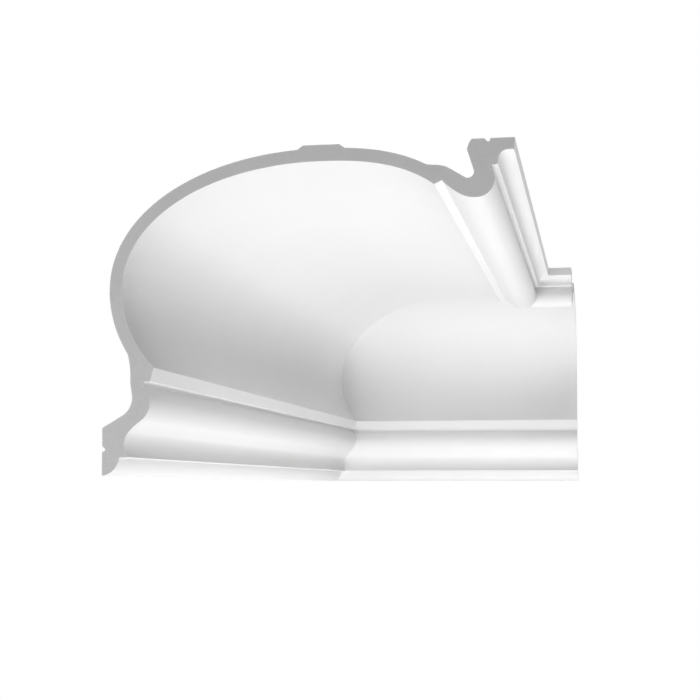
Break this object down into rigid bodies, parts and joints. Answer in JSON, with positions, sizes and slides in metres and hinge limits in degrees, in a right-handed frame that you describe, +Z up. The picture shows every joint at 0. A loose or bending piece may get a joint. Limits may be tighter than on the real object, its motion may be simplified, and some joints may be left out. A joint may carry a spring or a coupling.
{
  "type": "cornice moulding section",
  "caption": "Large hollow-backed cove cornice for the inside corner of a room: a long and a short length of moulding meet in a mitre and are fixed to wall and ceiling.",
  "frame": {"origin": "foot of the room's inside corner: on the left wall and on the back wall, at the moulding's lower edge", "axes": "-X into the left wall that the long run is fixed to, +Y into the back wall that the short run is fixed to, +Z up; the ceiling is at z = 0.29"},
  "size_m": [0.398, 1.135, 0.29],
  "materials": {
    "primed_foam": "matt white factory primer over rigid moulded foam, sawn bare at the square ends"
  },
  "bodies": {
    "root": {"long_run": "primed_foam", "short_run": "primed_foam"}
  },
  "joints": []
}
